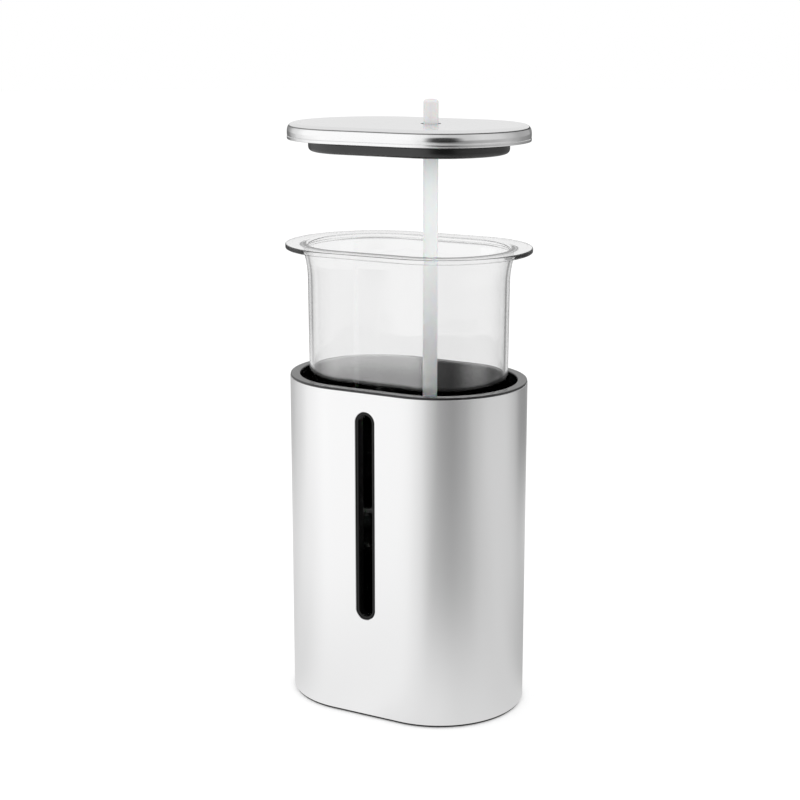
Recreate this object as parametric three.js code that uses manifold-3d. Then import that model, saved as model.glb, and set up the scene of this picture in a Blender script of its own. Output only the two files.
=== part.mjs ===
// Milk container for a coffee machine, in millimetres, +Z up, standing on z = 0 with its long side along X.
// Every shell follows one obround plan: two flat sides along X joined by two half-elliptical ends.
// A profile point is (inset, height): how far the surface lies inside the casing's outline, and how high.
// The container is built opened up: the tank is lifted half out of the casing and the lid is held over it.

import * as THREE from 'three';
import { mergeVertices } from 'three/addons/utils/BufferGeometryUtils.js';
import Module from 'manifold-3d';

// Plan of the casing
const HALF_LENGTH = 59;
const HALF_WIDTH = 42;
const END_DEPTH = 40.4;

// Clearance between pieces that fit one in another, and the overrun of a cutting tool
const FIT_GAP = 0.3;
const CUT_OVERRUN = 2;

// Heights of the casing
const PLATE_BOTTOM = 0.4;
const BAND_HEIGHT = 1;
const SLEEVE_TOP = 160;
const RING_STAND = 1;

// Outer sleeve
const SLEEVE_WALL = 1;
const SLOT_WIDTH = 10.2;
const SLOT_BOTTOM = 49.6;
const SLOT_TOP = 151.1;

// Inner liner
const LINER_WALL = 2.1;
const LINER_SPACE = 1.7;
const LINER_FLOOR_TOP = 14;
const LINER_FLOOR = 2;
const LINER_FILLET = 3;
const RIB_WIDTH = 1.6;
const RIB_ROOT = 0.6;
const RIB_END_MARGIN = 9;
const RIBS_PER_END = 5;
const FRAME_RIB_SPACE = 6;

// Top ring
const RING_THICKNESS = 2;
const RING_SETBACK = 0.2;
const RING_CHAMFER = 0.3;
const RING_ROUND = 0.6;
const TONGUE_DEPTH = 4;

// Window frame in the slot
const FRAME_LIP = 1.2;
const FRAME_RECESS = 0.4;
const FRAME_FLANGE = 2;
const FRAME_EDGE_ROUND = 0.3;

// Base plate, feet and screws
const PLATE_THICKNESS = 2.2;
const PLATE_SETBACK = 0.6;
const FOOT_RADIUS = 5;
const FOOT_LET_IN = 1.2;
const FOOT_ROUND = 0.25;
const FOOT_END_MARGIN = 21;
const FOOT_SIDE_MARGIN = 21;
const SCREW_END_MARGIN = 34;
const SCREW_SIDE_MARGIN = 15;
const SCREW_HEAD_RADIUS = 2.8;
const SCREW_HEAD_HEIGHT = 0.9;
const SCREW_SINK = 1.1;
const SCREW_RADIUS = 1.45;
const SCREW_REACH = 7;
const SCREW_TIP = 1.2;
const SCREW_RECESS_DEPTH = 0.6;
const SCREW_RECESS_ARM = 1.6;
const SCREW_RECESS_WIDTH = 0.6;
const BOSS_RADIUS = 4;

// Clear tank
const FLANGE_OVERHANG = 1.5;
const FLANGE_THICKNESS = 2.2;
const FLANGE_ROUND = 0.5;
const TANK_WALL = 2;
const TANK_FLOOR = 2.5;
const TANK_FLOOR_CLEARANCE = 2;
const NECK_INSET = 7.3;
const NECK_FILLET = 2;
const MOUTH_ROUND = 1.35;
const SHOULDER_INSET = 9.1;
const SHOULDER_DEPTH = 17;
const FOOT_INSET = 9.9;
const TANK_FILLET = 8;

// Lid
const LID_HEIGHT = 7.7;
const LID_EDGE_ROUND = 3.9;
const CAP_SHEET = 0.8;
const HEM_HEIGHT = 1.3;
const HEM_GROOVE_DEPTH = 0.25;
const HEM_GROOVE_WIDTH = 0.5;
const TUBE_HOLE_RADIUS = 4.8;
const LID_SEAT_GAP = 0.3;
const INSERT_THICKNESS = 2;
const INSERT_RIB_INSET = 4.5;
const PLUG_INSET = 9.9;
const PLUG_DEPTH = 5.7;
const PLUG_ROUND = 2.2;
const SEAL_INSET = 9.6;
const SEAL_HEIGHT = 1.6;
const SEAL_GROOVE = 0.9;
const SEAL_ROUND = 0.4;

// Suction tube and its bush
const TUBE_X = 12;
const TUBE_RADIUS = 3.5;
const TUBE_BORE_RADIUS = 2;
const TUBE_LIP_ROUND = 1.4;
const TUBE_STICK_OUT = 11.2;
const TUBE_FLOOR_CLEARANCE = 3;
const BUSH_RADIUS = 5.5;
const BUSH_BOSS_WALL = 1.6;
const BUSH_LEDGE = 1.4;

// How far the tank and the lid are lifted
const TANK_LIFT = 60.9;
const LID_LIFT = 49;

// Facets
const END_STEPS = 18;
const FILLET_STEPS = 2;
const FLARE_STEPS = 3;
const ROUND_STEPS = 24;
const SMALL_ROUND_STEPS = 16;
const SLOT_STEPS = 8;

// Sizes that follow from the ones above
const HALF_FLAT = HALF_LENGTH - END_DEPTH;
const SLEEVE_BOTTOM = PLATE_BOTTOM + BAND_HEIGHT;
const PLATE_TOP = PLATE_BOTTOM + PLATE_THICKNESS;
const RING_TOP = SLEEVE_TOP + RING_STAND;
const RING_UNDERSIDE = RING_TOP - RING_THICKNESS;
const INSIDE_SLEEVE = SLEEVE_WALL + FIT_GAP;
const LINER_OUTER = SLEEVE_WALL + LINER_SPACE;
const LINER_INNER = LINER_OUTER + LINER_WALL;
const TANK_HEIGHT = RING_TOP + FLANGE_THICKNESS - LINER_FLOOR_TOP - TANK_FLOOR_CLEARANCE;
const TANK_TOP = RING_TOP + FLANGE_THICKNESS + TANK_LIFT;
const LID_BOTTOM = TANK_TOP + LID_SEAT_GAP + LID_LIFT;
const TUBE_BELOW_LID = TANK_HEIGHT - TANK_FLOOR - TUBE_FLOOR_CLEARANCE + LID_SEAT_GAP;
const TUBE_LENGTH = TUBE_BELOW_LID + LID_HEIGHT + TUBE_STICK_OUT;
const TUBE_GUIDE_RADIUS = TUBE_RADIUS + FIT_GAP;
const SEAT_RADIUS = BUSH_RADIUS + FIT_GAP;

const wasm = await Module();
wasm.setup();

// Materials

function material(color, roughness, metalness) {
  return new THREE.MeshStandardMaterial({ color, roughness, metalness });
}

const STEEL = material(0xc8c9cb, 0.35, 1);
const BLACK_PLASTIC = material(0x121213, 0.45, 0);
const BLACK_SILICONE = material(0x1c1c1d, 0.7, 0);
const WHITE_SILICONE = material(0xe9ebec, 0.4, 0);
const RUBBER = material(0x232324, 0.85, 0);
const SCREW_STEEL = material(0x8f9194, 0.4, 1);
const CLEAR_PLASTIC = new THREE.MeshStandardMaterial({
  color: 0xf2f5f6,
  roughness: 0.08,
  metalness: 0,
  transparent: true,
  opacity: 0.3,
});

// Geometry helpers

// One loop of the plan, seen from above and counter-clockwise, drawn in from the outline by inset.
function planPoints(inset) {
  const points = [];
  for (const side of [1, -1]) {
    for (let step = 0; step <= END_STEPS; step += 1) {
      const angle = (step / END_STEPS - 0.5) * Math.PI;
      const along = HALF_FLAT + (END_DEPTH - inset) * Math.cos(angle);
      points.push([side * along, side * (HALF_WIDTH - inset) * Math.sin(angle)]);
    }
  }
  return points;
}

// Turns all faces the other way if the body they close is inside out.
function faceOutward(geometry) {
  const place = geometry.getAttribute('position');
  const index = geometry.getIndex();
  const corner = [new THREE.Vector3(), new THREE.Vector3(), new THREE.Vector3()];
  let volume = 0;
  for (let face = 0; face < index.count; face += 3) {
    corner.forEach((point, k) => point.fromBufferAttribute(place, index.getX(face + k)));
    volume += corner[0].dot(corner[1].cross(corner[2]));
  }
  if (volume < 0) {
    index.array.reverse();
  }
  return geometry;
}

// Carries a profile round the plan. A closed profile makes a ring, an open one is capped flat at both ends.
function sweepRound(profile, closed) {
  const positions = [];
  const faces = [];
  const loops = profile.map((point) => planPoints(point.x));
  const count = loops[0].length;
  loops.forEach((loop, row) => {
    loop.forEach(([x, y]) => positions.push(x, y, profile[row].y));
  });
  const strips = closed ? profile.length : profile.length - 1;
  for (let row = 0; row < strips; row += 1) {
    const here = row * count;
    const next = ((row + 1) % profile.length) * count;
    for (let k = 0; k < count; k += 1) {
      const after = (k + 1) % count;
      faces.push(here + k, here + after, next + after);
      faces.push(here + k, next + after, next + k);
    }
  }
  if (!closed) {
    const last = profile.length - 1;
    const lastRow = last * count;
    positions.push(0, 0, profile[0].y);
    positions.push(0, 0, profile[last].y);
    const firstCentre = profile.length * count;
    for (let k = 0; k < count; k += 1) {
      const after = (k + 1) % count;
      faces.push(firstCentre, after, k);
      faces.push(firstCentre + 1, lastRow + k, lastRow + after);
    }
  }
  const geometry = new THREE.BufferGeometry();
  geometry.setAttribute('position', new THREE.Float32BufferAttribute(positions, 3));
  geometry.setIndex(faces);
  return faceOutward(geometry);
}

// Points along a path, without the repeat that closes a loop.
function pathPoints(path, steps) {
  const points = path.getPoints(steps);
  if (points[0].distanceTo(points[points.length - 1]) === 0) {
    points.pop();
  }
  return points;
}

// A straight-sided ring or plate, from profile corners given as [inset, height].
function sweepCorners(corners, closed) {
  const profile = corners.map(([inset, height]) => new THREE.Vector2(inset, height));
  return sweepRound(profile, closed);
}

function toSolid(geometry) {
  const bare = geometry.clone();
  bare.deleteAttribute('normal');
  bare.deleteAttribute('uv');
  const welded = mergeVertices(bare);
  return new wasm.Manifold(new wasm.Mesh({
    numProp: 3,
    vertProperties: new Float32Array(welded.getAttribute('position').array),
    triVerts: new Uint32Array(welded.getIndex().array),
  }));
}

function toGeometry(solid) {
  const mesh = solid.getMesh();
  const geometry = new THREE.BufferGeometry();
  geometry.setAttribute('position', new THREE.BufferAttribute(mesh.vertProperties, 3));
  geometry.setIndex(new THREE.BufferAttribute(mesh.triVerts, 1));
  return geometry;
}

function cutAway(body, tools) {
  const solid = tools.reduce((rest, tool) => rest.subtract(toSolid(tool)), toSolid(body));
  return toGeometry(solid);
}

function joinTo(body, pieces) {
  const solid = pieces.reduce((whole, piece) => whole.add(toSolid(piece)), toSolid(body));
  return toGeometry(solid);
}

// An upright cylinder between two heights.
function post(radius, bottom, top, x, y, steps) {
  const geometry = new THREE.CylinderGeometry(radius, radius, top - bottom, steps);
  geometry.rotateX(Math.PI / 2);
  geometry.translate(x, y, (bottom + top) / 2);
  return geometry;
}

// A body turned round a vertical axis. Its profile points are [radius, height].
function turned(corners, steps) {
  const profile = corners.map(([radius, height]) => new THREE.Vector2(radius, height));
  const geometry = new THREE.LatheGeometry(profile, steps);
  geometry.rotateX(Math.PI / 2);
  return geometry;
}

// A prism with round ends that stands in the front wall, between two depths behind the casing's front face.
function slotPrism(grow, frontDepth, backDepth) {
  const radius = SLOT_WIDTH / 2 + grow;
  const low = SLOT_BOTTOM + SLOT_WIDTH / 2;
  const high = SLOT_TOP - SLOT_WIDTH / 2;
  const outline = new THREE.Shape();
  outline.absarc(0, high, radius, 0, Math.PI, false);
  outline.absarc(0, low, radius, Math.PI, 2 * Math.PI, false);
  const options = { depth: backDepth - frontDepth, bevelEnabled: false, curveSegments: SLOT_STEPS };
  const geometry = new THREE.ExtrudeGeometry(outline, options);
  geometry.rotateX(Math.PI / 2);
  geometry.translate(0, backDepth - HALF_WIDTH, 0);
  return geometry;
}

// Four places, one for each quarter of the plan, at set distances from its ends and its flat sides
function quarterPlaces(endMargin, sideMargin) {
  const places = [];
  for (const sideX of [-1, 1]) {
    for (const sideY of [-1, 1]) {
      places.push([sideX * (HALF_LENGTH - endMargin), sideY * (HALF_WIDTH - sideMargin)]);
    }
  }
  return places;
}

const footPlaces = quarterPlaces(FOOT_END_MARGIN, FOOT_SIDE_MARGIN);
const screwPlaces = quarterPlaces(SCREW_END_MARGIN, SCREW_SIDE_MARGIN);

// Casing

function outerSleeve() {
  const wall = sweepCorners([
    [0, SLEEVE_BOTTOM],
    [0, SLEEVE_TOP],
    [SLEEVE_WALL, SLEEVE_TOP],
    [SLEEVE_WALL, SLEEVE_BOTTOM],
  ], true);
  return cutAway(wall, [slotPrism(0, -CUT_OVERRUN, SLEEVE_WALL + CUT_OVERRUN)]);
}

// Where a rib stands and which way it faces, at an angle round one end of the plan
function ribPlace(end, x, angle, inset) {
  const y = (HALF_WIDTH - inset) * Math.sin(angle);
  const outward = Math.atan2(END_DEPTH * Math.sin(angle), end * HALF_WIDTH * Math.cos(angle));
  return [end * x, y, outward];
}

// Upright ribs on the liner keep the sleeve round. Five stand on each end, and one on each side of the
// window and of the place opposite it, clear of the window frame's flange.
function linerRibs() {
  const bottom = SLEEVE_BOTTOM + RIB_END_MARGIN;
  const top = RING_UNDERSIDE - TONGUE_DEPTH - RIB_END_MARGIN;
  const height = LINER_OUTER + RIB_ROOT - INSIDE_SLEEVE;
  const middle = INSIDE_SLEEVE + height / 2;
  const windowRibX = SLOT_WIDTH / 2 + FRAME_FLANGE + FRAME_RIB_SPACE + RIB_WIDTH / 2;
  const windowRibAngle = Math.acos(Math.max(0, (windowRibX - HALF_FLAT) / (END_DEPTH - middle)));
  const ribs = [];
  for (const end of [1, -1]) {
    for (let k = 0; k < RIBS_PER_END; k += 1) {
      const angle = ((k + 1) / (RIBS_PER_END + 1) - 0.5) * Math.PI;
      const x = HALF_FLAT + (END_DEPTH - middle) * Math.cos(angle);
      ribs.push(ribPlace(end, x, angle, middle));
    }
    for (const angle of [windowRibAngle, -windowRibAngle]) {
      ribs.push(ribPlace(end, windowRibX, angle, middle));
    }
  }
  return ribs.map(([x, y, outward]) => {
    const rib = new THREE.BoxGeometry(height, RIB_WIDTH, top - bottom);
    rib.rotateZ(outward);
    rib.translate(x, y, (bottom + top) / 2);
    return rib;
  });
}

function innerLiner() {
  const floorBottom = LINER_FLOOR_TOP - LINER_FLOOR;
  const profile = new THREE.Path();
  profile.moveTo(LINER_INNER, floorBottom);
  profile.lineTo(LINER_INNER, PLATE_TOP);
  profile.lineTo(LINER_OUTER, PLATE_TOP);
  profile.lineTo(LINER_OUTER, RING_UNDERSIDE);
  profile.lineTo(LINER_INNER, RING_UNDERSIDE);
  profile.lineTo(LINER_INNER, LINER_FLOOR_TOP + LINER_FILLET);
  profile.absarc(LINER_INNER + LINER_FILLET, LINER_FLOOR_TOP + LINER_FILLET, LINER_FILLET,
    Math.PI, 1.5 * Math.PI, false);
  const shell = sweepRound(pathPoints(profile, FILLET_STEPS), false);
  const bossTop = LINER_FLOOR_TOP - LINER_FLOOR / 2;
  const boreTop = PLATE_TOP + SCREW_REACH + FIT_GAP;
  const boreRadius = SCREW_RADIUS + FIT_GAP;
  const bosses = screwPlaces.map(([x, y]) => post(
    BOSS_RADIUS, PLATE_TOP, bossTop, x, y, SMALL_ROUND_STEPS));
  const bores = screwPlaces.map(([x, y]) => post(
    boreRadius, PLATE_TOP - CUT_OVERRUN, boreTop, x, y, SMALL_ROUND_STEPS));
  const window = slotPrism(0, LINER_OUTER - CUT_OVERRUN, LINER_INNER + CUT_OVERRUN);
  return cutAway(joinTo(shell, [...linerRibs(), ...bosses]), [...bores, window]);
}

function topRing() {
  const profile = new THREE.Path();
  profile.moveTo(RING_SETBACK, SLEEVE_TOP);
  profile.lineTo(RING_SETBACK, RING_TOP - RING_CHAMFER);
  profile.lineTo(RING_SETBACK + RING_CHAMFER, RING_TOP);
  profile.lineTo(LINER_INNER - RING_ROUND, RING_TOP);
  profile.absarc(LINER_INNER - RING_ROUND, RING_TOP - RING_ROUND, RING_ROUND, Math.PI / 2, 0, true);
  profile.lineTo(LINER_INNER, RING_UNDERSIDE);
  profile.lineTo(LINER_OUTER - FIT_GAP, RING_UNDERSIDE);
  profile.lineTo(LINER_OUTER - FIT_GAP, RING_UNDERSIDE - TONGUE_DEPTH);
  profile.lineTo(INSIDE_SLEEVE, RING_UNDERSIDE - TONGUE_DEPTH);
  profile.lineTo(INSIDE_SLEEVE, SLEEVE_TOP);
  return sweepRound(pathPoints(profile, FILLET_STEPS), true);
}

// The frame fills the slot, with a flange between the sleeve and the liner that keeps it in place.
function windowFrame() {
  const tube = slotPrism(-FIT_GAP, FRAME_RECESS + FRAME_EDGE_ROUND, LINER_INNER);
  const nose = slotPrism(-FIT_GAP - FRAME_EDGE_ROUND, FRAME_RECESS, LINER_INNER);
  const flange = slotPrism(FRAME_FLANGE, INSIDE_SLEEVE, LINER_OUTER - FIT_GAP);
  const opening = slotPrism(-FIT_GAP - FRAME_LIP, -CUT_OVERRUN, LINER_INNER + CUT_OVERRUN);
  return cutAway(joinTo(tube, [nose, flange]), [opening]);
}

function basePlate() {
  const plate = sweepCorners([
    [PLATE_SETBACK, PLATE_BOTTOM],
    [PLATE_SETBACK, SLEEVE_BOTTOM],
    [INSIDE_SLEEVE, SLEEVE_BOTTOM],
    [INSIDE_SLEEVE, PLATE_TOP],
  ], false);
  const below = PLATE_BOTTOM - CUT_OVERRUN;
  const above = PLATE_TOP + CUT_OVERRUN;
  const pockets = footPlaces.map(([x, y]) => post(
    FOOT_RADIUS + FIT_GAP, below, PLATE_BOTTOM + FOOT_LET_IN, x, y, ROUND_STEPS));
  const headSinks = screwPlaces.map(([x, y]) => post(
    SCREW_HEAD_RADIUS + FIT_GAP, below, PLATE_BOTTOM + SCREW_SINK, x, y, SMALL_ROUND_STEPS));
  const shankHoles = screwPlaces.map(([x, y]) => post(
    SCREW_RADIUS + FIT_GAP, below, above, x, y, SMALL_ROUND_STEPS));
  return cutAway(plate, [...pockets, ...headSinks, ...shankHoles]);
}

function baseFoot() {
  return turned([
    [0, 0],
    [FOOT_RADIUS - FOOT_ROUND, 0],
    [FOOT_RADIUS, FOOT_ROUND],
    [FOOT_RADIUS, PLATE_BOTTOM + FOOT_LET_IN],
    [0, PLATE_BOTTOM + FOOT_LET_IN],
  ], ROUND_STEPS);
}

// A screw driven upwards from below, with a cross recess in its head.
function baseScrew() {
  const seat = PLATE_BOTTOM + SCREW_SINK;
  const tip = PLATE_TOP + SCREW_REACH;
  const head = seat - SCREW_HEAD_HEIGHT;
  const body = turned([
    [0, head],
    [SCREW_HEAD_RADIUS, head],
    [SCREW_HEAD_RADIUS, seat],
    [SCREW_RADIUS, seat],
    [SCREW_RADIUS, tip - SCREW_TIP],
    [0, tip],
  ], SMALL_ROUND_STEPS);
  const arms = [0, Math.PI / 2].map((turn) => {
    const arm = new THREE.BoxGeometry(2 * SCREW_RECESS_ARM, SCREW_RECESS_WIDTH, 2 * SCREW_RECESS_DEPTH);
    arm.rotateZ(turn);
    arm.translate(0, 0, head);
    return arm;
  });
  return cutAway(body, arms);
}

// Clear tank

// The outside of the wall, its flare and its flange run up, and the mouth and the inside run down again.
function milkTank() {
  const top = TANK_TOP;
  const bottom = top - TANK_HEIGHT;
  const floorTop = bottom + TANK_FLOOR;
  const underFlange = top - FLANGE_THICKNESS;
  const outerEdge = -FLANGE_OVERHANG;
  const innerFillet = TANK_FILLET - TANK_WALL;
  const shoulder = top - SHOULDER_DEPTH;
  const mouth = NECK_INSET + TANK_WALL;
  const flareShare = 0.5;
  const neckLow = underFlange - NECK_FILLET;
  const flareMiddle = neckLow + (shoulder - neckLow) * flareShare;
  const profile = new THREE.Path();
  profile.moveTo(FOOT_INSET + TANK_FILLET, bottom);
  profile.absarc(FOOT_INSET + TANK_FILLET, bottom + TANK_FILLET, TANK_FILLET, 1.5 * Math.PI, Math.PI, true);
  profile.lineTo(SHOULDER_INSET, shoulder);
  profile.quadraticCurveTo(SHOULDER_INSET, flareMiddle, NECK_INSET, neckLow);
  profile.absarc(NECK_INSET - NECK_FILLET, neckLow, NECK_FILLET, 0, Math.PI / 2, false);
  profile.lineTo(outerEdge, underFlange);
  profile.lineTo(outerEdge, top - FLANGE_ROUND);
  profile.lineTo(outerEdge + FLANGE_ROUND, top);
  profile.absarc(mouth - MOUTH_ROUND, top - MOUTH_ROUND, MOUTH_ROUND, Math.PI / 2, 0, true);
  profile.quadraticCurveTo(SHOULDER_INSET + TANK_WALL, flareMiddle, SHOULDER_INSET + TANK_WALL, shoulder);
  profile.lineTo(FOOT_INSET + TANK_WALL, floorTop + innerFillet);
  profile.absarc(FOOT_INSET + TANK_FILLET, floorTop + innerFillet, innerFillet,
    Math.PI, 1.5 * Math.PI, false);
  return sweepRound(pathPoints(profile, FLARE_STEPS), false);
}

// Lid, with heights counted from the cap's lower edge

// A pressed steel cap: the outside runs from the hem up over the rounded edge, the inside back down.
function lidCap() {
  const innerRound = LID_EDGE_ROUND - CAP_SHEET;
  const shoulder = LID_HEIGHT - LID_EDGE_ROUND;
  const grooveTop = HEM_HEIGHT + HEM_GROOVE_WIDTH;
  const profile = new THREE.Path();
  profile.moveTo(LID_EDGE_ROUND, LID_HEIGHT);
  profile.absarc(LID_EDGE_ROUND, shoulder, LID_EDGE_ROUND, Math.PI / 2, Math.PI, false);
  profile.lineTo(0, grooveTop);
  profile.lineTo(HEM_GROOVE_DEPTH, (HEM_HEIGHT + grooveTop) / 2);
  profile.lineTo(0, HEM_HEIGHT);
  profile.lineTo(0, 0);
  profile.lineTo(CAP_SHEET, 0);
  profile.lineTo(CAP_SHEET, shoulder);
  profile.absarc(LID_EDGE_ROUND, shoulder, innerRound, Math.PI, Math.PI / 2, true);
  const sheet = sweepRound(pathPoints(profile, FILLET_STEPS), false);
  const hole = post(TUBE_HOLE_RADIUS, 0, LID_HEIGHT + CUT_OVERRUN, TUBE_X, 0, ROUND_STEPS);
  return cutAway(sheet, [hole]);
}

// A plate inside the cap, with a rib up to the cap's underside and a hollow plug below it.
function lidInsert() {
  const plateBottom = FIT_GAP;
  const plateTop = plateBottom + INSERT_THICKNESS;
  const capUnderside = LID_HEIGHT - CAP_SHEET;
  const floorTop = -PLUG_DEPTH + INSERT_THICKNESS;
  const insideCap = CAP_SHEET + FIT_GAP;
  const grooveBottom = plateBottom - SEAL_HEIGHT;
  const plugInside = PLUG_INSET + SEAL_GROOVE + INSERT_THICKNESS;
  const profile = new THREE.Path();
  profile.moveTo(PLUG_INSET + PLUG_ROUND, -PLUG_DEPTH);
  profile.absarc(PLUG_INSET + PLUG_ROUND, -PLUG_DEPTH + PLUG_ROUND, PLUG_ROUND, 1.5 * Math.PI, Math.PI, true);
  profile.lineTo(PLUG_INSET, grooveBottom);
  profile.lineTo(PLUG_INSET + SEAL_GROOVE, grooveBottom);
  profile.lineTo(PLUG_INSET + SEAL_GROOVE, plateBottom);
  profile.lineTo(insideCap, plateBottom);
  profile.lineTo(insideCap, plateTop);
  profile.lineTo(INSERT_RIB_INSET, plateTop);
  profile.lineTo(INSERT_RIB_INSET, capUnderside);
  profile.lineTo(INSERT_RIB_INSET + INSERT_THICKNESS, capUnderside);
  profile.lineTo(INSERT_RIB_INSET + INSERT_THICKNESS, plateTop);
  profile.lineTo(plugInside, plateTop);
  profile.lineTo(plugInside, floorTop);
  const plug = sweepRound(pathPoints(profile, FILLET_STEPS), false);
  const bossBottom = floorTop - INSERT_THICKNESS / 2;
  const boss = post(SEAT_RADIUS + BUSH_BOSS_WALL, bossBottom, capUnderside, TUBE_X, 0, ROUND_STEPS);
  const ledge = BUSH_LEDGE - PLUG_DEPTH;
  const seat = post(SEAT_RADIUS, ledge, capUnderside + CUT_OVERRUN, TUBE_X, 0, ROUND_STEPS);
  const passage = post(TUBE_HOLE_RADIUS, -PLUG_DEPTH - CUT_OVERRUN, 0, TUBE_X, 0, ROUND_STEPS);
  return cutAway(joinTo(plug, [boss]), [seat, passage]);
}

// A silicone ring in the plug's groove, wider than the plug, with its lower outer edge rounded.
function lidSeal() {
  const top = FIT_GAP;
  const bottom = top - SEAL_HEIGHT;
  const inner = PLUG_INSET + SEAL_GROOVE - FIT_GAP;
  const profile = new THREE.Path();
  profile.moveTo(inner, bottom);
  profile.lineTo(inner, top);
  profile.lineTo(SEAL_INSET, top);
  profile.lineTo(SEAL_INSET, bottom + SEAL_ROUND);
  profile.absarc(SEAL_INSET + SEAL_ROUND, bottom + SEAL_ROUND, SEAL_ROUND, Math.PI, 1.5 * Math.PI, false);
  return sweepRound(pathPoints(profile, FILLET_STEPS), true);
}

function tubeBush() {
  const bottom = BUSH_LEDGE - PLUG_DEPTH;
  const top = LID_HEIGHT - CAP_SHEET;
  return turned([
    [TUBE_GUIDE_RADIUS, bottom],
    [BUSH_RADIUS, bottom],
    [BUSH_RADIUS, top],
    [TUBE_GUIDE_RADIUS, top],
    [TUBE_GUIDE_RADIUS, bottom],
  ], ROUND_STEPS);
}

function suctionTube() {
  const top = LID_HEIGHT + TUBE_STICK_OUT;
  const bottom = top - TUBE_LENGTH;
  const profile = new THREE.Path();
  profile.moveTo(TUBE_BORE_RADIUS, bottom);
  profile.lineTo(TUBE_RADIUS, bottom);
  profile.lineTo(TUBE_RADIUS, top - TUBE_LIP_ROUND);
  profile.absarc(TUBE_RADIUS - TUBE_LIP_ROUND, top - TUBE_LIP_ROUND, TUBE_LIP_ROUND, 0, Math.PI / 2, false);
  profile.lineTo(TUBE_BORE_RADIUS, top);
  profile.lineTo(TUBE_BORE_RADIUS, bottom);
  return turned(profile.getPoints(FILLET_STEPS).map((point) => [point.x, point.y]), ROUND_STEPS);
}

// Assembly

function piece(name, geometry, look, x = 0, y = 0) {
  const mesh = new THREE.Mesh(geometry, look);
  mesh.name = name;
  mesh.position.set(x, y, 0);
  return mesh;
}

const casing = new THREE.Group();
casing.add(piece('outer_sleeve', outerSleeve(), STEEL));
casing.add(piece('inner_liner', innerLiner(), BLACK_PLASTIC));
casing.add(piece('top_ring', topRing(), BLACK_PLASTIC));
casing.add(piece('window_frame', windowFrame(), BLACK_PLASTIC));
casing.add(piece('base_plate', basePlate(), BLACK_PLASTIC));
footPlaces.forEach(([x, y], k) => {
  casing.add(piece(`base_foot_${k + 1}`, baseFoot(), RUBBER, x, y));
});
screwPlaces.forEach(([x, y], k) => {
  casing.add(piece(`base_screw_${k + 1}`, baseScrew(), SCREW_STEEL, x, y));
});

const tank = new THREE.Group();
tank.add(piece('milk_tank', milkTank(), CLEAR_PLASTIC));

const lid = new THREE.Group();
lid.position.z = LID_BOTTOM;
lid.add(piece('lid_cap', lidCap(), STEEL));
lid.add(piece('lid_insert', lidInsert(), BLACK_PLASTIC));
lid.add(piece('lid_seal', lidSeal(), BLACK_SILICONE));
lid.add(piece('tube_bush', tubeBush(), BLACK_SILICONE, TUBE_X));
lid.add(piece('suction_tube', suctionTube(), WHITE_SILICONE, TUBE_X));

const group = new THREE.Group();
group.add(casing, tank, lid);

export default group;
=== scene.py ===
# Looks of a milk container for a coffee machine: steel casing, clear tank, steel lid and suction tube.
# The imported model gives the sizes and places. Each piece is remade here as a fine mesh in its node's place.
# Lengths are in metres. A profile point is (inset, height): how far the surface lies inside the casing's
# outline, and how high.

import math

import bmesh
import bpy
from mathutils import Matrix, Vector


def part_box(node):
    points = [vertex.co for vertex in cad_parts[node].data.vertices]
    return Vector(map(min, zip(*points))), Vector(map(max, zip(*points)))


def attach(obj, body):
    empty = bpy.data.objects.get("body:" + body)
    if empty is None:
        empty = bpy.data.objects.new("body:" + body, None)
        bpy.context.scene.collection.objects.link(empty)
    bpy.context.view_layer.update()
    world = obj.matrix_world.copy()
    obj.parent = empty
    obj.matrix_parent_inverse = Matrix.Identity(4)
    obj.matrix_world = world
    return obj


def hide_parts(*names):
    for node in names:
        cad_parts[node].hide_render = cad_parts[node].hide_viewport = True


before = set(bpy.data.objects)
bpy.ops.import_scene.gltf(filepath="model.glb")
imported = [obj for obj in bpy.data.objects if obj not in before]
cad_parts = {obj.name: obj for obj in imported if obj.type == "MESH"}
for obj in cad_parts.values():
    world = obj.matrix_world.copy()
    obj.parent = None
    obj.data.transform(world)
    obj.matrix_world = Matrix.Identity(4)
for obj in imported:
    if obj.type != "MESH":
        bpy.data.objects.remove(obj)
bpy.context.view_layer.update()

# Fineness of the meshes
PLAN_STEPS = 192
FLAT_CUTS = 12
SLOT_STEPS = 64
ROUND_STEPS = 64
SCREW_STEPS = 32
ARC_STEPS = 8
SHORT_ARC_STEPS = 3
SOFT_ARC_STEPS = 14
LONG_ARC_STEPS = 28
WELD = 0.000002
GUARD = 0.0003
LONG_SIDE = 0.0015
CREASE = math.radians(34)

# Plan of the casing, from its packed box, with the depth of its two half-elliptical ends
SLEEVE_LOW, SLEEVE_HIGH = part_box("outer_sleeve")
HALF_LENGTH = SLEEVE_HIGH.x
HALF_WIDTH = SLEEVE_HIGH.y
END_DEPTH = 0.0404
HALF_FLAT = HALF_LENGTH - END_DEPTH

# Clearance between pieces that fit one in another
FIT_GAP = 0.0003

# Walls of the casing
SLEEVE_WALL = 0.001
SLEEVE_EDGE = 0.00022
INSIDE_SLEEVE = SLEEVE_WALL + FIT_GAP
LINER_OUTER = 0.0027
LINER_WALL = 0.0021
LINER_INNER = LINER_OUTER + LINER_WALL
LINER_FILLET = 0.003
# Top and underside of the liner's floor
LINER_FLOOR_TOP = 0.014
LINER_FLOOR_UNDER = 0.012

# Window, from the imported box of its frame
FRAME_LOW, FRAME_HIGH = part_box("window_frame")
FRAME_FLANGE = 0.002
FRAME_LIP = 0.0012
FRAME_RECESS = 0.0004
FRAME_EDGE = 0.00035
SLOT_RADIUS = FRAME_HIGH.x - FRAME_FLANGE
SLOT_LOW = FRAME_LOW.z + FRAME_FLANGE
SLOT_HIGH = FRAME_HIGH.z - FRAME_FLANGE


# Meshes


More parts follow.
